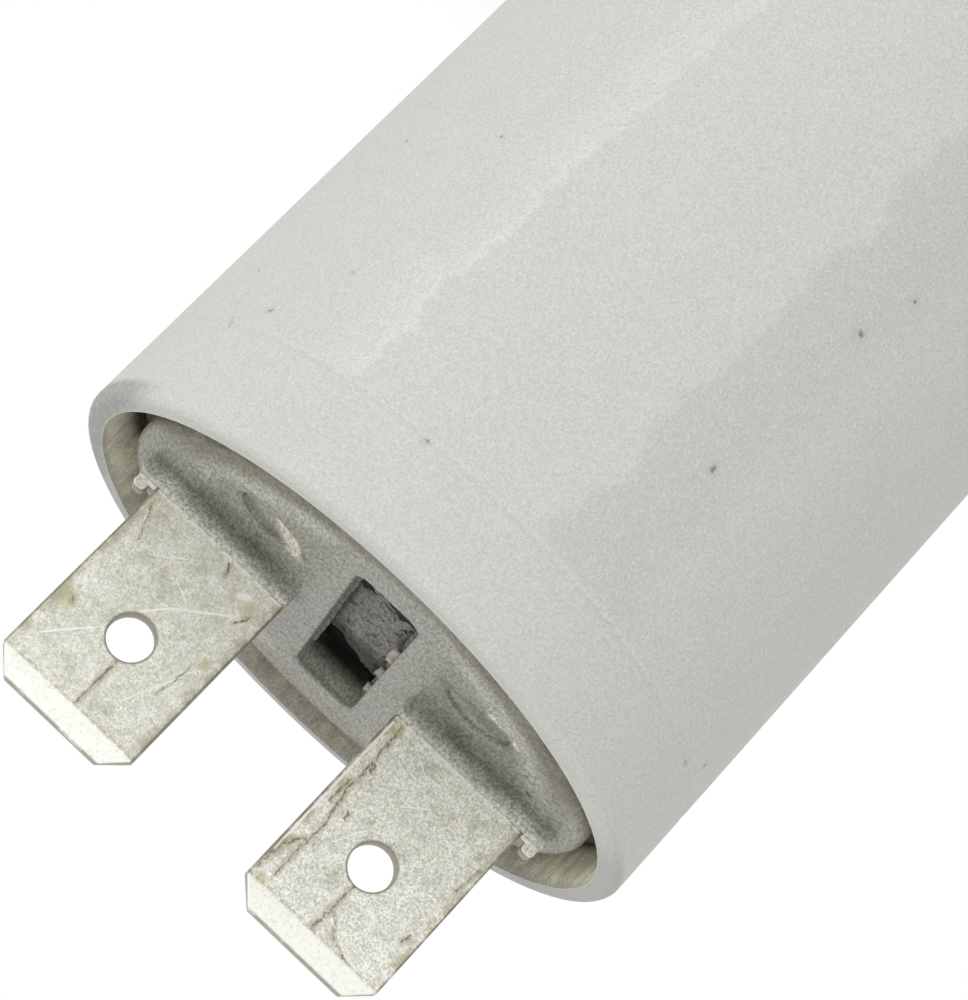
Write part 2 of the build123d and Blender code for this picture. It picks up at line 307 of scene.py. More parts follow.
def wavered(tree, place, amount, grain):
    """A place shaken by noise, so that drawn marks get ragged edges."""
    noise = tree.nodes.new("ShaderNodeTexNoise")
    noise.inputs["Scale"].default_value = 1.0 / grain
    tree.links.new(place, noise.inputs["Vector"])
    centred = calculate_place(tree, "SUBTRACT", noise.outputs["Color"], (0.5, 0.5, 0.5))
    return calculate_place(tree, "MULTIPLY_ADD", centred, (amount, amount, amount), place)


def speckled(tree, tone, noise, amount):
    """A colour made lighter and darker by up to amount as a noise goes up and down."""
    return calculate_place(tree, "SCALE", tone, scale=fade(tree, noise, 0.3, 0.7, 1 - amount, 1 + amount))


def softened_copy(node_name, piece_name, edge_round):
    """A merged copy of a carried-over node with its sharp edges rounded, which stands for it."""
    piece = bpy.data.objects.new(piece_name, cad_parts[node_name].data.copy())
    bpy.context.collection.objects.link(piece)
    bpy.ops.object.select_all(action="DESELECT")
    piece.select_set(True)
    bpy.context.view_layer.objects.active = piece
    bpy.ops.mesh.customdata_custom_splitnormals_clear()
    bpy.ops.object.mode_set(mode="EDIT")
    bpy.ops.mesh.select_all(action="SELECT")
    bpy.ops.mesh.remove_doubles(threshold=1e-6)
    bpy.ops.mesh.dissolve_limited(angle_limit=radians(0.5))
    bpy.ops.object.mode_set(mode="OBJECT")
    rounding = piece.modifiers.new("edge_round", "BEVEL")
    rounding.width = edge_round
    rounding.segments = 3
    rounding.limit_method = "ANGLE"
    rounding.angle_limit = radians(25)
    bpy.ops.object.modifier_apply(modifier="edge_round")
    bpy.ops.object.shade_smooth_by_angle(angle=radians(40))
    even_shading = piece.modifiers.new("even_shading", "WEIGHTED_NORMAL")
    even_shading.keep_sharp = True
    bpy.ops.object.modifier_apply(modifier="even_shading")
    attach(piece, "root")
    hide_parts(node_name)
    return piece


def drawn(tree, surface, lines):
    """1 along lines, each given as its points and its width."""
    share = 0.0
    for points, width in lines:
        for start, end in zip(points, points[1:]):
            share = most_of(tree, share, stroke(tree, surface, start, end, width))
    return share


tin_bright = (0.90, 0.895, 0.82, 1)
tin_middle = (0.66, 0.66, 0.57, 1)
tin_dull = (0.40, 0.40, 0.33, 1)
tin_yellow = (0.64, 0.63, 0.44, 1)
tin_stain = (0.47, 0.42, 0.21, 1)
tin_tarnish = (0.36, 0.32, 0.185, 1)
# Dark tin serves pits and cracks, and the painted shade on the cut faces and outlines.
tin_dirt_and_shade = (0.15, 0.13, 0.08, 1)
# Bright tin serves the scrapes, flecks and pale patches, and the painted highlights on the foot and the tip
# bevel.
tin_scrape_and_highlight = (0.93, 0.92, 0.86, 1)
blade_painted_light = {"blade_right": 0.27, "blade_left": 0.46}
blade_grain = {"blade_right": 0.16, "blade_left": 0.30}
blade_edge_round = 0.00004
blade_half_width = 3.15
blade_half_thick = 0.4
blade_middle_x = 5.95
blade_foot_level = 58.3
blade_tip_level = 67.15
tip_bevel_level = 66.15
tip_bevel_rate = 0.25
hole_level = 63.0
hole_radius = 0.9
halo_width = 3.2
dark_marks = {
    "blade_right": (
        (((8.79, 58.9), (8.55, 59.5), (8.23, 60.2)), 0.07),
        (((5.72, 64.0), (5.71, 66.1)), 0.13),
        (((5.29, 58.55), (5.1, 58.95)), 0.12),
        (((3.68, 60.0), (3.42, 59.5)), 0.09),
        (((3.9, 63.9), (3.66, 62.1)), 0.045),
        (((8.42, 63.4), (8.38, 63.5)), 0.16),
    ),
    "blade_left": (
        (((-3.3, 58.5), (-3.36, 59.6), (-3.58, 60.5)), 0.16),
        (((-3.43, 60.2), (-3.39, 61.5), (-3.59, 62.8), (-3.7, 63.4), (-3.59, 64.1), (-3.6, 65.6)), 0.13),
        (((-3.2, 61.2), (-3.2, 62.3)), 0.12),
        (((-3.47, 63.9), (-3.04, 64.6), (-2.93, 65.7)), 0.15),
        (((-4.03, 62.15), (-4.05, 62.35)), 0.14),
        (((-5.93, 64.0), (-5.86, 66.1)), 0.15),
        (((-5.9, 64.95), (-6.68, 65.8), (-7.7, 66.2)), 0.07),
        (((-8.6, 63.9), (-8.52, 64.2)), 0.13),
        (((-8.9, 60.4), (-8.7, 61.6)), 0.08),
    ),
}
bright_marks = {
    "blade_right": (
        (((6.37, 62.04), (5.66, 61.2), (4.71, 60.5), (3.81, 59.8)), 0.13),
        (((8.39, 65.1), (7.11, 63.6)), 0.11),
        (((6.3, 60.3), (5.4, 60.7)), 0.08),
        (((7.6, 60.3), (6.5, 59.5)), 0.08),
        (((4.6, 64.9), (3.5, 62.3)), 0.08),
        (((4.25, 59.15), (3.95, 58.95)), 0.4),
        (((8.7, 59.4), (8.3, 60.1)), 0.06),
    ),
    "blade_left": (
        (((-6.1, 60.0), (-5.2, 60.7)), 0.07),
        (((-6.9, 59.4), (-5.4, 58.9)), 0.06),
        (((-4.3, 63.3), (-4.9, 62.2)), 0.09),
        (((-5.2, 59.3), (-4.4, 58.8)), 0.07),
        (((-6.3, 65.2), (-6.9, 65.5), (-7.3, 64.9)), 0.07),
        (((-7.9, 60.2), (-8.5, 60.9)), 0.08),
        (((-2.95, 58.6), (-2.95, 65.6)), 0.12),
    ),
}
blade_stains = {
    "blade_right": (((3.55, 59.3), 0.6), ((8.9, 59.0), 0.4), ((8.6, 63.5), 0.7), ((3.4, 61.9), 0.35)),
    "blade_left": (((-3.2, 58.9), 0.5), ((-3.2, 61.6), 0.55), ((-3.2, 64.4), 0.6), ((-3.3, 66.1), 0.45)),
}
for blade_name, blade_side in (("blade_right", 1), ("blade_left", -1)):
    tin_finish, tree, shader, place = start_finish(f"dull_tin_{blade_name}", Metallic=0.45)
    blade_x, blade_y, blade_z = axes(tree, place)
    front = fade(tree, blade_y, 0.1 - blade_half_thick, 0.2 - blade_half_thick, 1.0, 0.0)
    face = flat_place(tree, blade_x, blade_z)
    shaken_face = wavered(tree, face, 0.35, 0.5)
    cracked_face = wavered(tree, face, 0.3, 0.35)
    fine = mottle(tree, place, 0.07, detail=2.0, roughness=0.8)
    speckle = mottle(tree, place, 0.15, detail=3.0, roughness=0.8)
    hue = mottle(tree, stretched(tree, place, shift=(3, 5, 1)), 0.22, detail=3.0, roughness=0.7)
    cloud_place = stretched(tree, place, shift=(blade_side * 7, 0, 0))
    cloud = mottle(tree, cloud_place, 1.8, detail=5.0, roughness=0.65)
    tone = blend(tree, fade(tree, speckle, 0.34, 0.66), tin_dull, tin_bright)
    tone = blend(tree, 0.35, tone, tin_middle)
    tone = blend(tree, fade(tree, fine, 0.52, 0.68, 0.0, 0.9), tone, tin_bright)
    tone = blend(tree, fade(tree, fine, 0.30, 0.46, 0.8, 0.0), tone, tin_dull)
    tone = blend(tree, fade(tree, hue, 0.48, 0.66, 0.0, 0.55), tone, tin_yellow)
    tone = blend(tree, fade(tree, cloud, 0.5, 0.75, 0.0, 0.35), tone, tin_dull)
    # Painted light: both blades are lightened towards bright tin, the left one more, for how the light falls
    # on them.
    tone = blend(tree, blade_painted_light[blade_name], tone, tin_bright)
    blotch = mottle(tree, stretched(tree, place, shift=(2, 9, 4)), 0.7, detail=4.0, roughness=0.6)
    tone = blend(tree, fade(tree, blotch, 0.52, 0.7, 0.0, 0.45), tone, tin_dull)
    tone = blend(tree, fade(tree, blotch, 0.32, 0.46, 0.45, 0.0), tone, tin_scrape_and_highlight)
    flecks = 0.0
    for fleck_turn, fleck_shift in ((0.5, 0.0), (-0.9, 9.0)):
        slanted = stretched(
            tree, place, scale=(1, 1, 7), shift=(fleck_shift, 0, blade_side * 4), turn=(0, fleck_turn, 0)
        )
        flecks = most_of(tree, flecks, fade(tree, mottle(tree, slanted, 0.9, detail=2.0), 0.68, 0.74))
    tone = blend(tree, all_of(tree, flecks, 0.7), tone, tin_scrape_and_highlight)
    crumbs = mottle(tree, stretched(tree, place, shift=(11, 3, 7)), 0.08, detail=2.0, roughness=0.8)
    tone = speckled(tree, tone, crumbs, blade_grain[blade_name])
    pits = fade(tree, mottle(tree, place, 0.2, detail=2.0, roughness=0.5), 0.70, 0.75)
    tone = blend(tree, all_of(tree, pits, 0.5), tone, tin_dirt_and_shade)
    tarnish = 0.0
    for centre, radius in blade_stains[blade_name]:
        tarnish = most_of(tree, tarnish, spot(tree, shaken_face, centre, radius, softness=0.9))
    tarnish = all_of(tree, tarnish, fade(tree, speckle, 0.3, 0.6, 0.25, 1.0))
    tone = blend(tree, all_of(tree, tarnish, 0.7), tone, tin_stain)
    from_middle = calculate(tree, "SUBTRACT", calculate(tree, "ABSOLUTE", blade_x), blade_middle_x)
    edge_gap = calculate(tree, "SUBTRACT", blade_half_width, calculate(tree, "ABSOLUTE", from_middle))
    on_strip = fade(tree, edge_gap, -0.06, -0.02)
    edge_tarnish = all_of(
        tree, on_strip, fade(tree, edge_gap, 0.05, 0.5, 0.65, 0.0), fade(tree, blotch, 0.4, 0.58, 0.15, 1.0)
    )
    tone = blend(tree, edge_tarnish, tone, tin_tarnish)
    scraped = drawn(tree, wavered(tree, face, 0.1, 0.6), bright_marks[blade_name])
    scraped = all_of(tree, scraped, front, fade(tree, speckle, 0.3, 0.5, 0.5, 1.0))
    tone = blend(tree, scraped, tone, tin_scrape_and_highlight)
    wide_marks = [(points, halo_width * width) for points, width in dark_marks[blade_name]]
    crack_halo = drawn(tree, shaken_face, wide_marks)
    crack_halo = all_of(tree, crack_halo, front, fade(tree, speckle, 0.3, 0.6, 0.1, 0.55))
    tone = blend(tree, crack_halo, tone, tin_tarnish)
    cracks = drawn(tree, cracked_face, dark_marks[blade_name])
    cracks = all_of(tree, cracks, front, fade(tree, hue, 0.40, 0.56, 0.3, 1.0))
    tone = blend(tree, all_of(tree, cracks, 0.7), tone, tin_dirt_and_shade)
    # Painted highlights: a bright line along the blade's foot, and the tip bevel painted lighter.
    foot_highlight = fade(tree, blade_z, blade_foot_level + 0.04, blade_foot_level + 0.2, 0.8, 0.0)
    tone = blend(tree, all_of(tree, foot_highlight, fade(tree, hue, 0.4, 0.55)), tone, tin_scrape_and_highlight)
    tip_bevel_highlight = fade(tree, blade_z, tip_bevel_level, tip_bevel_level + 0.12)
    tone = blend(tree, all_of(tree, tip_bevel_highlight, fade(tree, speckle, 0.3, 0.55, 0.45, 0.95)), tone, tin_scrape_and_highlight)
    bevel_gap = calculate(tree, "ABSOLUTE", calculate(tree, "SUBTRACT", blade_z, tip_bevel_level - 0.03))
    bevel_line = all_of(tree, fade(tree, bevel_gap, 0.02, 0.09, 1.0, 0.0), fade(tree, hue, 0.4, 0.6), 0.5)
    tone = blend(tree, bevel_line, tone, tin_tarnish)
    # Dark outlines round the hole, along the sides and at the tip are partly dirt at the cut edges and
    # partly painted shade; the cut faces themselves get painted shade.
    hole_gap = calculate_place(tree, "DISTANCE", face, (blade_side * blade_middle_x, hole_level, 0))
    hole_line = fade(tree, hole_gap, hole_radius + 0.02, hole_radius + 0.12, 0.75, 0.0)
    side_line = all_of(
        tree, on_strip, fade(tree, edge_gap, 0.045, 0.11, 0.75, 0.0), fade(tree, blotch, 0.3, 0.5, 0.5, 1.0)
    )
    tip_line = fade(tree, blade_z, blade_tip_level - 0.13, blade_tip_level - 0.05, 0.0, 0.7)
    tip_line = all_of(tree, tip_line, fade(tree, blotch, 0.3, 0.5, 0.4, 1.0))
    past_bevel = calculate(tree, "MAXIMUM", calculate(tree, "SUBTRACT", blade_z, tip_bevel_level), 0.0)
    thinning = calculate(tree, "MULTIPLY", past_bevel, tip_bevel_rate)
    half_thick = calculate(tree, "SUBTRACT", blade_half_thick, thinning)
    under_face = calculate(tree, "SUBTRACT", half_thick, calculate(tree, "ABSOLUTE", blade_y))
    cut_side_shade = fade(tree, under_face, 0.012, 0.05, 0.0, 0.75)
    tone = blend(tree, most_of(tree, hole_line, side_line, tip_line, cut_side_shade), tone, tin_dirt_and_shade)
    tree.links.new(tone, shader.inputs["Base Color"])
    tree.links.new(
        calculate(tree, "ADD", fade(tree, speckle, 0.3, 0.7, 0.5, 0.38), all_of(tree, tarnish, 0.2)),
        shader.inputs["Roughness"],
    )
    grain_bump = raise_surface(tree, shader, speckle, 0.014)
    raise_surface(tree, shader, calculate(tree, "SUBTRACT", 1.0, cracks), 0.03, before=grain_bump)
    blade = softened_copy(blade_name, f"{blade_name}_plate", blade_edge_round)
    blade.data.materials.clear()
    blade.data.materials.append(tin_finish)


# Can
# One cup moulded in white plastic, with a matt, slightly grainy skin, a rounded rim and a fine
# ring line four millimetres under it. Soft lengthwise bands of painted highlight and painted shade
# run in the wall, the ring line's groove is painted a little lighter, and the rim's top and its +X
# end carry painted shade. The mouth is stained olive where the resin crept up round the lid; the
# stain is painted lighter against the gap's shade, with painted shade towards the far side and
# brown stain with painted shade deeper down.
can_radius = 13.0
mouth_radius = 12.05
rim_level = 58.0
ring_level = 54.0
first_band = 6.3
second_band = -2.2
band_lean = 0.055
can_white = (0.635, 0.648, 0.598, 1)
can_bright_and_highlight = (0.70, 0.71, 0.665, 1)
can_streak_highlight = (0.74, 0.755, 0.715, 1)
can_shade = (0.575, 0.585, 0.540, 1)
rim_painted_shade = (0.39, 0.395, 0.375, 1)
ring_painted_light = (0.86, 0.865, 0.82, 1)
can_speck = (0.16, 0.15, 0.12, 1)
mouth_olive_stain_and_light = (0.86, 0.82, 0.65, 1)
mouth_far_shade = (0.48, 0.43, 0.36, 1)
mouth_brown_stain_and_shade = (0.10, 0.085, 0.045, 1)
can_specks = (
    ((9.5, 50.5), 0.13),
    ((11.2, 53.1), 0.16),
    ((9.1, 43.1), 0.12),
    ((13.1, 44.5), 0.12),
    ((14.1, 42.4), 0.10),
    ((2.7, 54.1), 0.16),
    ((-5.0, 47.6), 0.22),
    ((-5.6, 40.1), 0.26),
    ((-6.3, 37.6), 0.16),
    ((-15.1, 53.2), 0.15),
    ((-13.7, 54.0), 0.15),
    ((4.4, 29.0), 0.14),
    ((-19.0, 22.5), 0.2),
    ((20.5, 33.0), 0.18),
    ((31.0, 46.0), 0.16),
    ((-29.0, 38.5), 0.2),
    ((37.5, 14.0), 0.17),
)
can_finish, tree, shader, place = start_finish("can_plastic", Specular_IOR_Level=0.15)
can_x, can_y, can_z = axes(tree, place)
turn = calculate(tree, "ARCTAN2", can_x, calculate(tree, "MULTIPLY", can_y, -1.0))
arc = calculate(tree, "MULTIPLY", turn, can_radius)
can_reach = calculate_place(tree, "LENGTH", flat_place(tree, can_x, can_y))
wall = flat_place(tree, arc, can_z)
body = fade(tree, can_z, ring_level - 0.5, ring_level, 1.0, 0.0)
waves = mottle(tree, stretched(tree, wall, scale=(0.2, 0.4, 1)), 1.6, detail=1.0)
waves = calculate(tree, "MULTIPLY", calculate(tree, "SUBTRACT", waves, 0.5), 2.4)
ripple = mottle(tree, stretched(tree, wall, scale=(0.35, 1.2, 1)), 1.3, detail=3.0)
ripple = calculate(tree, "MULTIPLY", calculate(tree, "SUBTRACT", ripple, 0.5), 1.5)
lean = calculate(tree, "MULTIPLY", calculate(tree, "SUBTRACT", can_z, ring_level), band_lean)
across = calculate(tree, "ADD", arc, calculate(tree, "ADD", waves, ripple))
across = calculate(tree, "SUBTRACT", across, lean)
# Painted highlight and shade: a bright streak and a lighter shelf run along the wall, with a darker dip
# before the shelf, standing in for the lights reflected in the slightly wavy wall.
streak_edge = fade(tree, across, first_band - 0.25, first_band)
streak_core = fade(tree, across, first_band + 0.1, first_band + 0.8, 0.75, 0.0)
streak_glow = fade(tree, across, first_band + 0.3, first_band + 2.6, 0.4, 0.0)
streak_gaps = mottle(tree, stretched(tree, wall, scale=(0.2, 0.6, 1)), 2.0, detail=2.0)
streak_gaps = fade(tree, streak_gaps, 0.4, 0.56, 0.35, 1.0)
streak = all_of(tree, streak_edge, most_of(tree, all_of(tree, streak_core, streak_gaps), streak_glow))
shelf = all_of(
    tree,
    fade(tree, across, second_band - 0.2, second_band + 0.2),
    fade(tree, across, second_band + 0.5, second_band + 2.6, 1.0, 0.0),
)
dip = all_of(
    tree,
    fade(tree, across, second_band - 5.0, second_band - 2.5),
    fade(tree, across, second_band - 0.35, second_band, 1.0, 0.0),
)
can_tone = blend(tree, all_of(tree, streak, body), can_white, can_streak_highlight)
can_tone = blend(tree, all_of(tree, shelf, body, 0.22), can_tone, can_bright_and_highlight)
can_tone = blend(tree, all_of(tree, dip, body, 0.85), can_tone, can_shade)
can_cloud = mottle(tree, place, 5.0)
can_tone = blend(tree, fade(tree, can_cloud, 0.5, 0.8, 0.0, 0.35), can_tone, can_shade)
can_grain = mottle(tree, place, 0.11, detail=3.0, roughness=0.8)
can_tone = blend(tree, fade(tree, can_grain, 0.34, 0.52, 0.8, 0.0), can_tone, can_shade)
can_tone = blend(tree, fade(tree, can_grain, 0.5, 0.68, 0.0, 0.8), can_tone, can_bright_and_highlight)
shaken_wall = wavered(tree, wall, 0.3, 0.2)
specks = 0.0
smudges = 0.0
for centre, radius in can_specks:
    specks = most_of(tree, specks, spot(tree, shaken_wall, centre, 0.75 * radius, softness=0.8))
    smudges = most_of(tree, smudges, spot(tree, shaken_wall, centre, 2.2 * radius, softness=1.0))
dust_noise = mottle(tree, stretched(tree, wall, scale=(1, 2, 1)), 0.35, detail=2.0, roughness=0.6)
ring_gap = calculate(tree, "ABSOLUTE", calculate(tree, "SUBTRACT", can_z, ring_level))
ring_dust = all_of(tree, fade(tree, dust_noise, 0.6, 0.75), fade(tree, ring_gap, 0.05, 0.3, 1.0, 0.0), 0.4)
base_dust = all_of(tree, fade(tree, dust_noise, 0.55, 0.75), fade(tree, can_z, 0.2, 2.5, 0.3, 0.0))
scuff = stroke(tree, wavered(tree, wall, 0.9, 1.2), (14.0, 51.4), (12.4, 54.4), 0.22)
scuff = all_of(tree, scuff, fade(tree, dust_noise, 0.4, 0.6), 0.3)
outside = fade(tree, can_reach, can_radius - 0.4, can_radius - 0.25)
dirt = most_of(tree, all_of(tree, specks, 0.75), all_of(tree, smudges, 0.14), ring_dust, base_dust, scuff)
can_tone = blend(tree, all_of(tree, dirt, outside), can_tone, can_speck)
# Painted light: the ring line's groove is painted a little lighter to take out its shade.
ring_fill = fade(tree, ring_gap, 0.1, 0.2, 0.09, 0.0)
can_tone = blend(tree, all_of(tree, ring_fill, outside), can_tone, ring_painted_light)
# Painted shade on the rim's top, except on the near side, and on its rounded end towards +X.
on_rim = fade(tree, can_z, rim_level - 0.45, rim_level - 0.2)
on_rim = all_of(tree, on_rim, fade(tree, can_y, -8.0, -3.0), 0.55)
rim_end = fade(tree, can_z, rim_level - 0.8, rim_level - 0.4)
rim_end = all_of(tree, rim_end, fade(tree, can_x, 10.4, 12.0))
rim_mottle = mottle(tree, place, 0.3, detail=4.0, roughness=0.7)
rim_end = all_of(tree, rim_end, fade(tree, rim_mottle, 0.35, 0.65, 0.7, 1.2))
can_tone = blend(tree, most_of(tree, on_rim, rim_end), can_tone, rim_painted_shade)
# Inside the mouth: an olive stain, painted lighter to make up for the gap's shade, with painted shade
# towards the far side, and deeper down brown stain and painted shade, which reach higher at the +X end.
inside = fade(tree, can_reach, mouth_radius - 0.01, mouth_radius + 0.07, 1.0, 0.0)
stain_edge = calculate(tree, "ADD", can_z, calculate(tree, "MULTIPLY", mottle(tree, place, 0.9), 0.5))
deep_stain_and_shade = all_of(tree, fade(tree, can_x, 8.0, 10.0), fade(tree, can_y, 3.4, 4.4, 0.35, 0.0))
olive_share = fade(tree, stain_edge, rim_level - 0.1, rim_level + 0.25, 0.95, 0.4)
olive_share = all_of(tree, inside, olive_share)
mouth_tone = blend(tree, fade(tree, can_y, 4.0, 8.0), mouth_olive_stain_and_light, mouth_far_shade)
mouth_cloud = mottle(tree, stretched(tree, place, scale=(1, 1, 0.4)), 0.6, detail=4.0, roughness=0.6)
mouth_tone = speckled(tree, mouth_tone, mouth_cloud, 0.22)
can_tone = blend(tree, olive_share, can_tone, mouth_tone)
brown_edge = calculate(tree, "SUBTRACT", stain_edge, deep_stain_and_shade)
brown_share = fade(tree, brown_edge, rim_level - 2.1, rim_level - 1.4, 1.0, 0.0)
brown_share = all_of(tree, inside, brown_share)
can_tone = blend(tree, brown_share, can_tone, mouth_brown_stain_and_shade)
can_crumbs = mottle(tree, stretched(tree, place, shift=(5, 5, 5)), 0.09, detail=2.0, roughness=0.8)
can_tone = blend(tree, inside, can_tone, speckled(tree, can_tone, can_crumbs, 0.16))
can_tone = speckled(tree, can_tone, can_crumbs, 0.09)
tree.links.new(can_tone, shader.inputs["Base Color"])
tree.links.new(fade(tree, can_grain, 0.35, 0.7, 0.66, 0.54), shader.inputs["Roughness"])
skin_bump = raise_surface(tree, shader, can_grain, 0.012)
band_height = all_of(tree, most_of(tree, streak, all_of(tree, shelf, 0.5)), body)
band_bump = raise_surface(tree, shader, band_height, 0.02, before=skin_bump)
raise_surface(tree, shader, calculate(tree, "SUBTRACT", 1.0, specks), 0.02, before=band_bump)
dress("can", can_finish)


# Potting resin
# Dark casting resin fills the can round the roll and creeps up into the lid's slot. At the slot's
# near side it froze as a rough grey crust full of pits, and past the crust's edge it sank.
slot_half_width = 1.465
slot_half_length = 7.5
resin_black = (0.012, 0.014, 0.009, 1)
resin_grey = (0.06, 0.06, 0.05, 1)
resin_depth_shade = (0.004, 0.005, 0.003, 1)
resin_finish, tree, shader, place = start_finish("casting_resin", Roughness=0.95, Specular_IOR_Level=0.1)
_, resin_y, resin_z = axes(tree, place)
lumps = mottle(tree, place, 0.45, detail=8.0, roughness=0.65)
resin_tone = blend(tree, fade(tree, lumps, 0.3, 0.7), resin_black, resin_grey)
# Painted shade: past the crust's edge the sunk resin is painted near-black.
sunk = all_of(tree, fade(tree, resin_y, 2.0, 3.0), fade(tree, resin_z, 55.0, 55.5))
resin_tone = blend(tree, all_of(tree, sunk, 0.85), resin_tone, resin_depth_shade)
tree.links.new(resin_tone, shader.inputs["Base Color"])
raise_surface(tree, shader, lumps, 0.15)
dress("potting_resin", resin_finish)


def clouds(name, size, depth=3):
    """A cloud pattern for a displacement, with spots of about size metres."""
    pattern = bpy.data.textures.new(name, "CLOUDS")
    pattern.noise_scale = size
    pattern.noise_depth = depth
    return pattern


def roughen(piece, pattern, strength, direction="Z", middle=0.5):
    """Displace a piece by a pattern and apply it."""
    swell = piece.modifiers.new("roughness", "DISPLACE")
    swell.texture = pattern
    swell.texture_coords = "LOCAL"
    swell.direction = direction
    swell.strength = strength
    swell.mid_level = middle
    bpy.ops.object.modifier_apply(modifier="roughness")


def thicken(piece, thickness, offset):
    """Give a sheet its thickness, with its faces outwards and its broad faces smooth."""
    wall = piece.modifiers.new("thickness", "SOLIDIFY")
    wall.thickness = thickness
    wall.offset = offset
    bpy.ops.object.modifier_apply(modifier="thickness")
    bpy.ops.object.mode_set(mode="EDIT")
    bpy.ops.mesh.select_all(action="SELECT")
    bpy.ops.mesh.normals_make_consistent(inside=False)
    bpy.ops.object.mode_set(mode="OBJECT")
    bpy.ops.object.shade_smooth_by_angle(angle=radians(50))


crust_level = 0.0565
crust_near = -slot_half_length / 1000 + 0.00003
crust_far = 0.0042
crust_half_width = slot_half_width / 1000 - 0.00003
crust_length = crust_far - crust_near
crust_thickness = 0.0003
brink_width = 0.00002
brink_drop = 0.0005
brink_reach = 0.0012
tongue_x = -0.0009
tongue_length = 0.0013
tongue_reach = 0.0026
crust_dark_grey = (0.12, 0.12, 0.095, 1)
crust_pale_grey = (0.46, 0.45, 0.40, 1)
crust_hole = (0.03, 0.025, 0.015, 1)
crust_shade = (0.03, 0.028, 0.018, 1)
bpy.ops.object.select_all(action="DESELECT")
bpy.ops.mesh.primitive_grid_add(
    x_subdivisions=48, y_subdivisions=190, size=1, location=(0, (crust_near + crust_far) / 2, crust_level)
)
crust = bpy.context.object
crust.name = "resin_crust"
crust.scale = (2 * crust_half_width, crust_length, 1)
bpy.ops.object.transform_apply(location=True, rotation=True, scale=True)
bpy.ops.object.mode_set(mode="EDIT")
bpy.ops.mesh.select_all(action="DESELECT")
bpy.ops.object.mode_set(mode="OBJECT")
for vertex in crust.data.vertices:
    vertex.select = vertex.co.y > crust_far - brink_width
bpy.ops.object.mode_set(mode="EDIT")
bpy.ops.transform.translate(
    value=(0, 0, -brink_drop),
    use_proportional_edit=True,
    proportional_edit_falloff="SHARP",
    proportional_size=brink_reach,
)
bpy.ops.mesh.select_all(action="DESELECT")
bpy.ops.object.mode_set(mode="OBJECT")
for vertex in crust.data.vertices:
    vertex.select = vertex.co.y > crust_far - brink_width and vertex.co.x < tongue_x
bpy.ops.object.mode_set(mode="EDIT")
bpy.ops.transform.translate(
    value=(0, tongue_length, 0),
    use_proportional_edit=True,
    proportional_edit_falloff="SMOOTH",
    proportional_size=tongue_reach,
)
bpy.ops.mesh.select_all(action="SELECT")
bpy.ops.transform.vertex_random(offset=0.000012, seed=4)
bpy.ops.object.mode_set(mode="OBJECT")
roughen(crust, clouds("crust_swell", 0.0012), 0.00042)
roughen(crust, clouds("crust_lumps", 0.0004), 0.00022)
pit_pattern = bpy.data.textures.new("crust_pits", "VORONOI")
pit_pattern.noise_scale = 0.00055
pit_pattern.use_color_ramp = True
pit_pattern.color_ramp.elements[0].position = 0.06
pit_pattern.color_ramp.elements[1].position = 0.32
roughen(crust, pit_pattern, 0.00014, middle=1.0)
thicken(crust, crust_thickness, -1)
crust_finish, tree, shader, place = start_finish("resin_crust", Roughness=0.7)
crust_x, crust_y, _ = axes(tree, place)
crust_lumps = mottle(tree, place, 0.16, detail=6.0, roughness=0.8)
crust_tone = blend(tree, fade(tree, crust_lumps, 0.36, 0.64), crust_dark_grey, crust_pale_grey)
holes = fade(tree, mottle(tree, place, 0.32, detail=1.0, roughness=0.3), 0.62, 0.69)
crust_tone = blend(tree, all_of(tree, holes, 0.7), crust_tone, crust_hole)
walls = fade(tree, calculate(tree, "ABSOLUTE", crust_x), 1.0, 1.35, 0.0, 0.75)
near_end = fade(tree, crust_y, -7.4, -6.0, 0.8, 0.0)
brink = fade(tree, crust_y, 0.8, 3.0, 0.0, 0.9)
crust_tone = blend(tree, most_of(tree, walls, near_end, brink), crust_tone, crust_shade)
tree.links.new(crust_tone, shader.inputs["Base Color"])
raise_surface(tree, shader, crust_lumps, 0.09)
crust.data.materials.append(crust_finish)
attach(crust, "root")


# Resin seams
# Where the resin sank, a thin torn skin of it stayed on both long walls of the slot: a narrow
# ragged ledge on each wall, and wider pale flakes on the left one.
seam_step = 0.00009
seam_thickness = 0.00009


def torn_seam(name, side, near, far, level, reach):
    """A thin ragged ledge along one wall of the slot."""
    wall_x = side * (slot_half_width / 1000 + 0.00004)
    length = far - near
    bpy.ops.object.select_all(action="DESELECT")
    bpy.ops.mesh.primitive_grid_add(
        x_subdivisions=8,
        y_subdivisions=max(12, int(length / seam_step)),
        size=1,
        location=(wall_x - side * reach / 2, (near + far) / 2, level),
    )
    seam = bpy.context.object
    seam.name = name
    seam.scale = (reach, length, 1)
    bpy.ops.object.transform_apply(location=True, rotation=True, scale=True)
    bpy.ops.object.mode_set(mode="EDIT")
    bpy.ops.mesh.select_all(action="DESELECT")
    bpy.ops.object.mode_set(mode="OBJECT")
    for vertex in seam.data.vertices:
        vertex.select = side * (wall_x - vertex.co.x) > 0.25 * reach
    free_part = seam.vertex_groups.new(name="free")
    free_part.add([vertex.index for vertex in seam.data.vertices if vertex.select], 1.0, "REPLACE")
    for pattern_size, strength, direction in ((0.0011, 0.6, "X"), (0.00035, 0.35, "X"), (0.0007, 0.45, "Z")):
        swell = seam.modifiers.new("tear", "DISPLACE")
        swell.texture = clouds(f"{name}_{direction}", pattern_size, depth=2)
        swell.texture_coords = "LOCAL"
        swell.direction = direction
        swell.strength = strength * reach
        swell.vertex_group = "free"
        bpy.ops.object.modifier_apply(modifier="tear")
    seam.vertex_groups.clear()
    thicken(seam, seam_thickness, 0)
    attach(seam, "root")
    return seam


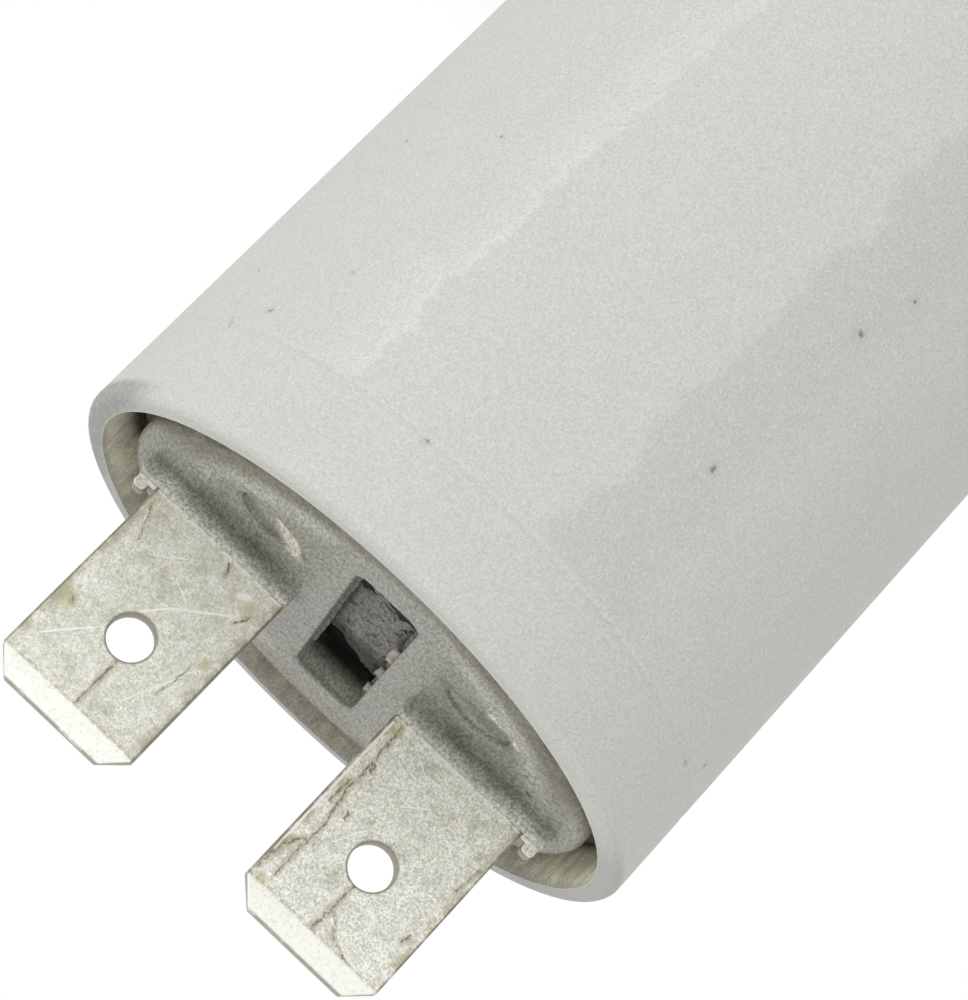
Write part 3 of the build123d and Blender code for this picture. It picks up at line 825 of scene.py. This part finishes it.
seam_dark = (0.045, 0.04, 0.028, 1)
seam_grey = (0.21, 0.195, 0.16, 1)
seam_pale = (0.46, 0.44, 0.38, 1)
seam_finish, tree, shader, place = start_finish("torn_resin", Roughness=0.6)
seam_x, _, _ = axes(tree, place)
tear_noise = mottle(tree, place, 0.35, detail=5.0, roughness=0.65)
seam_tone = blend(tree, fade(tree, tear_noise, 0.35, 0.65), seam_dark, seam_grey)
torn_edge = fade(tree, calculate(tree, "ABSOLUTE", seam_x), 1.22, 1.32, 1.0, 0.0)
torn_edge = all_of(tree, torn_edge, fade(tree, tear_noise, 0.4, 0.55))
seam_tone = blend(tree, all_of(tree, torn_edge, 0.8), seam_tone, seam_pale)
tree.links.new(seam_tone, shader.inputs["Base Color"])
raise_surface(tree, shader, tear_noise, 0.05)
flake_dark = (0.20, 0.18, 0.14, 1)
flake_pale = (0.50, 0.48, 0.42, 1)
flake_finish, tree, shader, place = start_finish("pale_flake", Roughness=0.55)
flake_noise = mottle(tree, place, 0.3, detail=5.0)
flake_tone = blend(tree, fade(tree, flake_noise, 0.3, 0.7), flake_dark, flake_pale)
tree.links.new(flake_tone, shader.inputs["Base Color"])
raise_surface(tree, shader, flake_noise, 0.05)
seams = (
    ("resin_seam_right", 1, -0.0074, 0.0050, 0.05700, 0.00022, seam_finish),
    ("resin_seam_left", -1, -0.0074, 0.0068, 0.05685, 0.00018, seam_finish),
    ("resin_flake_1", -1, -0.0020, -0.0002, 0.05700, 0.00036, flake_finish),
    ("resin_flake_2", -1, 0.0012, 0.0024, 0.05700, 0.00032, flake_finish),
    ("resin_flake_3", -1, 0.0041, 0.0051, 0.05700, 0.00026, flake_finish),
)
for *seam_sizes, seam_skin in seams:
    torn_seam(*seam_sizes).data.materials.append(seam_skin)


# Lid
# A moulded disc in a greyer plastic, with a rounded shoulder, that closes the can. Two raised
# seats hold the blades, with shallow soft sinks and ejector marks beside them. Olive grime lies
# in blotches and brown resin dirt in the gap round it. Painted shade lies along the seats' feet,
# in the sinks, along the near rim, deep in the slot and in the gap; painted light lies on the
# seats, the crest and the slot's upper walls, and painted glints in the sinks.
lid_top_level = 57.5
lid_disc_radius = 10.97
seat_half_width = 0.6
eject_centre = (4.95, 4.1)
eject_radius = 1.5
lid_grey = (0.315, 0.312, 0.272, 1)
lid_light = (0.37, 0.365, 0.32, 1)
lid_dull = (0.215, 0.212, 0.175, 1)
lid_olive = (0.165, 0.150, 0.100, 1)
lid_brown_dirt_and_shade = (0.055, 0.045, 0.025, 1)
lid_rim_shadow = (0.135, 0.122, 0.09, 1)
lid_foot_shadow = (0.07, 0.074, 0.062, 1)
lid_crest_highlight = (0.48, 0.48, 0.425, 1)
lid_seat_painted_light = (0.52, 0.52, 0.47, 1)
lid_glint = (0.76, 0.73, 0.62, 1)
lid_olive_cloud = (0.27, 0.255, 0.18, 1)
slot_wall_painted_light = (0.52, 0.51, 0.44, 1)
slot_wall_shade = (0.006, 0.007, 0.005, 1)
lid_specks = (
    ((0.9, 8.1), 0.1),
    ((-7.7, -2.8), 0.13),
    ((-8.25, -1.25), 0.16),
    ((-4.8, -7.0), 0.09),
    ((6.5, 7.6), 0.12),
)
sink_glints = (
    (((4.7, -4.35), (4.3, -3.9)), 0.8),
    (((4.25, -3.85), (3.85, -3.2)), 1.5),
    (((-5.2, -6.0), (-6.3, -5.4), (-6.7, -4.5)), 0.5),
)
sink_shades = (
    (((6.4, -4.0), (5.6, -3.3), (4.8, -2.95)), 0.9),
    (((4.67, -5.7), (3.46, -4.6), (3.25, -3.7)), 0.4),
    (((-3.4, -5.0), (-5.4, -3.8), (-6.3, -3.9)), 1.5),
)
lid_finish, tree, shader, place = start_finish("lid_plastic")
lid_x, lid_y, lid_z = axes(tree, place)
lid_plan = flat_place(tree, lid_x, lid_y)
lid_reach = calculate_place(tree, "LENGTH", lid_plan)
side_x = calculate(tree, "ABSOLUTE", lid_x)
side_y = calculate(tree, "ABSOLUTE", lid_y)
lid_cloud = mottle(tree, place, 1.7, detail=5.0)
lid_fine = mottle(tree, place, 0.13, detail=4.0, roughness=0.7)
lid_tone = blend(tree, fade(tree, lid_cloud, 0.42, 0.72, 0.0, 0.55), lid_grey, lid_dull)
lid_tone = blend(tree, fade(tree, lid_fine, 0.34, 0.5, 0.6, 0.0), lid_tone, lid_dull)
lid_tone = blend(tree, fade(tree, lid_fine, 0.5, 0.66, 0.0, 0.6), lid_tone, lid_light)
on_top = fade(tree, lid_z, lid_top_level - 0.3, lid_top_level - 0.22)
near_side = fade(tree, lid_y, -5.5, -2.5, 1.0, 0.0)
# Painted highlight on the crest round the sinks.
crest = all_of(
    tree,
    fade(tree, lid_reach, 7.6, 8.6),
    fade(tree, lid_reach, 8.9, 9.6, 1.0, 0.0),
    fade(tree, side_x, 1.8, 3.4),
    on_top,
)
lid_tone = blend(tree, all_of(tree, crest, 0.85), lid_tone, lid_crest_highlight)
# Painted shadow of the near rim on the lid's near side.
near_rim_shadow = all_of(tree, fade(tree, lid_reach, 9.3, 10.1), near_side)
lid_tone = blend(tree, all_of(tree, near_rim_shadow, 0.85), lid_tone, lid_rim_shadow)
# Painted shade in a dark line along the lid's near edge.
near_edge_shade = all_of(tree, fade(tree, lid_reach, 10.25, 10.6), near_side)
lid_tone = blend(tree, all_of(tree, near_edge_shade, 0.6), lid_tone, lid_brown_dirt_and_shade)
# Painted light on the upper part of the raised seats.
on_seat = fade(tree, lid_z, lid_top_level + 0.3, lid_top_level + 0.75)
on_seat = all_of(tree, fade(tree, side_x, 2.7, 2.85), on_seat)
lid_tone = blend(tree, all_of(tree, on_seat, 0.8), lid_tone, lid_seat_painted_light)
# Painted shadow along the feet of the seats, where the seats and the blades shade the lid.
by_seat = all_of(tree, fade(tree, side_x, 2.2, 5.0), fade(tree, side_x, 8.4, 10.4, 1.0, 0.0))
foot_gap = calculate(tree, "SUBTRACT", side_y, seat_half_width)
foot_core = fade(tree, foot_gap, 0.1, 1.0, 0.66, 0.0)
foot_haze = fade(tree, foot_gap, 0.3, 2.2, 0.34, 0.0)
under_seat = fade(tree, lid_z, lid_top_level + 0.05, lid_top_level + 0.45, 1.0, 0.0)
seat_foot_shadow = all_of(tree, by_seat, most_of(tree, foot_core, foot_haze), under_seat)
lid_tone = blend(tree, seat_foot_shadow, lid_tone, lid_foot_shadow)
shaken_sink = wavered(tree, lid_plan, 0.3, 0.8)
lid_tone = blend(tree, all_of(tree, drawn(tree, shaken_sink, sink_shades), 0.5), lid_tone, lid_foot_shadow)
glints = drawn(tree, shaken_sink, sink_glints)
lid_tone = blend(tree, all_of(tree, glints, 0.9), lid_tone, lid_glint)
grime_noise = mottle(tree, place, 0.7, detail=6.0, roughness=0.65)
grime = all_of(tree, fade(tree, grime_noise, 0.52, 0.72), 0.35)
lid_tone = blend(tree, grime, lid_tone, lid_olive)
in_slot = all_of(
    tree,
    fade(tree, side_x, slot_half_width + 0.035, slot_half_width + 0.135, 1.0, 0.0),
    fade(tree, side_y, slot_half_length + 0.05, slot_half_length + 0.15, 1.0, 0.0),
    fade(tree, lid_z, lid_top_level - 0.5, lid_top_level, 1.0, 0.0),
)
# Painted light on the slot's walls near the top, and painted shade deeper down.
slot_painted_light = fade(tree, lid_z, lid_top_level - 1.0, lid_top_level - 0.3)
slot_painted_light = all_of(tree, in_slot, slot_painted_light, fade(tree, side_x, 1.0, 1.4, 0.85, 0.25))
lid_tone = blend(tree, slot_painted_light, lid_tone, slot_wall_painted_light)
slot_shade = fade(tree, lid_z, lid_top_level - 1.4, lid_top_level - 0.6, 1.0, 0.0)
lid_tone = blend(tree, all_of(tree, in_slot, slot_shade), lid_tone, slot_wall_shade)
slot_rim = all_of(
    tree,
    fade(tree, side_x, slot_half_width - 0.045, slot_half_width + 0.235, 1.0, 0.0),
    fade(tree, side_y, slot_half_length - 0.1, slot_half_length + 0.25, 1.0, 0.0),
    on_top,
)
lid_tone = blend(tree, all_of(tree, slot_rim, 0.35), lid_tone, lid_dull)
# The lid's edge in the gap: brown resin dirt and painted shade.
in_gap = all_of(
    tree,
    fade(tree, lid_reach, lid_disc_radius - 0.07, lid_disc_radius - 0.01),
    fade(tree, lid_z, lid_top_level - 1.5, lid_top_level - 0.3, 1.0, 0.0),
)
lid_tone = blend(tree, all_of(tree, in_gap, 0.9), lid_tone, lid_brown_dirt_and_shade)
shaken_plan = wavered(tree, lid_plan, 0.12, 0.3)
lid_spots = 0.0
for centre, radius in lid_specks:
    lid_spots = most_of(tree, lid_spots, spot(tree, shaken_plan, centre, radius))
lid_tone = blend(tree, all_of(tree, lid_spots, on_top, 0.85), lid_tone, lid_brown_dirt_and_shade)
olive_cloud = mottle(tree, stretched(tree, place, shift=(8, 2, 0)), 1.1, detail=5.0, roughness=0.6)
lid_tone = blend(tree, fade(tree, olive_cloud, 0.45, 0.7, 0.0, 0.4), lid_tone, lid_olive_cloud)
lid_crumbs = mottle(tree, stretched(tree, place, scale=(1, 0.35, 1)), 0.12, detail=2.0, roughness=0.8)
lid_tone = speckled(tree, lid_tone, lid_crumbs, 0.42)
tree.links.new(lid_tone, shader.inputs["Base Color"])
eject_gap = calculate_place(tree, "DISTANCE", flat_place(tree, side_x, side_y), (*eject_centre, 0))
eject_share = fade(tree, eject_gap, eject_radius - 0.05, eject_radius + 0.05, 1.0, 0.0)
lid_roughness = fade(tree, lid_cloud, 0.3, 0.7, 0.5, 0.38)
lid_roughness = calculate(tree, "SUBTRACT", lid_roughness, all_of(tree, eject_share, 0.16))
tree.links.new(lid_roughness, shader.inputs["Roughness"])
lid_bump = raise_surface(tree, shader, lid_fine, 0.01)
raise_surface(tree, shader, lid_cloud, 0.03, before=lid_bump)
dress("lid", lid_finish)


# Floor
# A plain pale table under the can. Near the can it takes the light and the shadow; further out
# it is plain white to the eye, like the backdrop.
floor_radius = 1.5
floor_pale = (0.9, 0.9, 0.9, 1)
shadow_reach = (45.0, 85.0)


def seen_as_white(tree):
    """1 for rays that look at the backdrop or reflect it, 0 for rays that carry light."""
    path = tree.nodes.new("ShaderNodeLightPath")
    seen = calculate(tree, "MAXIMUM", path.outputs["Is Camera Ray"], path.outputs["Is Glossy Ray"])
    return calculate(tree, "MAXIMUM", seen, path.outputs["Is Transmission Ray"])


bpy.ops.mesh.primitive_circle_add(vertices=96, radius=floor_radius, fill_type="NGON")
floor = bpy.context.object
floor.name = "floor"
floor_finish, tree, shader, place = start_finish("floor_white", Roughness=0.9, Specular_IOR_Level=0.0)
shader.inputs["Base Color"].default_value = floor_pale
floor_reach = calculate_place(tree, "LENGTH", place)
white_share = calculate(tree, "MULTIPLY", fade(tree, floor_reach, *shadow_reach), seen_as_white(tree))
white_light = tree.nodes.new("ShaderNodeEmission")
floor_mix = tree.nodes.new("ShaderNodeMixShader")
tree.links.new(white_share, floor_mix.inputs["Fac"])
tree.links.new(shader.outputs["BSDF"], floor_mix.inputs[1])
tree.links.new(white_light.outputs["Emission"], floor_mix.inputs[2])
tree.links.new(floor_mix.outputs["Shader"], tree.nodes["Material Output"].inputs["Surface"])
floor.data.materials.append(floor_finish)


# Light
# A white room gives an even soft light, and one large soft lamp stands low at the camera's right,
# so that the right side of the can is a little lighter than the left and the lid stays greyer.
room_level = 0.76
world = bpy.data.worlds.new("white_room")
bpy.context.scene.world = world
world.use_nodes = True
tree = world.node_tree
room_light = tree.nodes["Background"]
room_light.inputs["Color"].default_value = (1, 1, 1, 1)
room_strength = fade(tree, seen_as_white(tree), 0.0, 1.0, room_level, 1.0)
tree.links.new(room_strength, room_light.inputs["Strength"])


def add_lamp(name, azimuth, elevation, distance, size, power):
    """A square soft lamp that looks at the upper part of the can. Azimuth 0 is the camera's side."""
    turn, rise = radians(azimuth), radians(elevation)
    direction = Vector((sin(turn) * cos(rise), -cos(turn) * cos(rise), sin(rise)))
    aim = Vector((0, 0, cad_high.z * 0.7))
    bpy.ops.object.light_add(type="AREA", location=aim + direction * distance)
    lamp = bpy.context.object
    lamp.name = name
    lamp.data.size = size
    lamp.data.energy = power
    lamp.rotation_mode = "QUATERNION"
    lamp.rotation_quaternion = direction.to_track_quat("Z", "Y")


add_lamp("key", azimuth=35, elevation=15, distance=0.6, size=0.4, power=1.05)


# Camera
# It looks down at the blade end from the front, rolled so that the blades point to the lower
# left, as in the photograph.
camera_azimuth = radians(-1.305)
camera_elevation = radians(18.717)
camera_roll = radians(-136.173)
camera_distance = 0.112695
camera_target = Vector((0.000261, 0, 0.049928))
lens_focal_length = 108.96
away = Vector(
    (
        sin(camera_azimuth) * cos(camera_elevation),
        -cos(camera_azimuth) * cos(camera_elevation),
        sin(camera_elevation),
    )
)
level_right = Vector((cos(camera_azimuth), sin(camera_azimuth), 0))
level_up = away.cross(level_right)
image_right = level_right * cos(camera_roll) + level_up * sin(camera_roll)
image_up = level_up * cos(camera_roll) - level_right * sin(camera_roll)
bpy.ops.object.camera_add()
camera = bpy.context.object
camera.data.sensor_width = 36.0
camera.data.lens = lens_focal_length
camera.data.clip_start = 0.01
camera.data.clip_end = 10.0
facing = Matrix((image_right, image_up, away)).transposed().to_4x4()
camera.matrix_world = Matrix.Translation(camera_target + away * camera_distance) @ facing
bpy.context.scene.camera = camera
bpy.context.scene.view_settings.view_transform = "Standard"


bpy.context.view_layer.update()
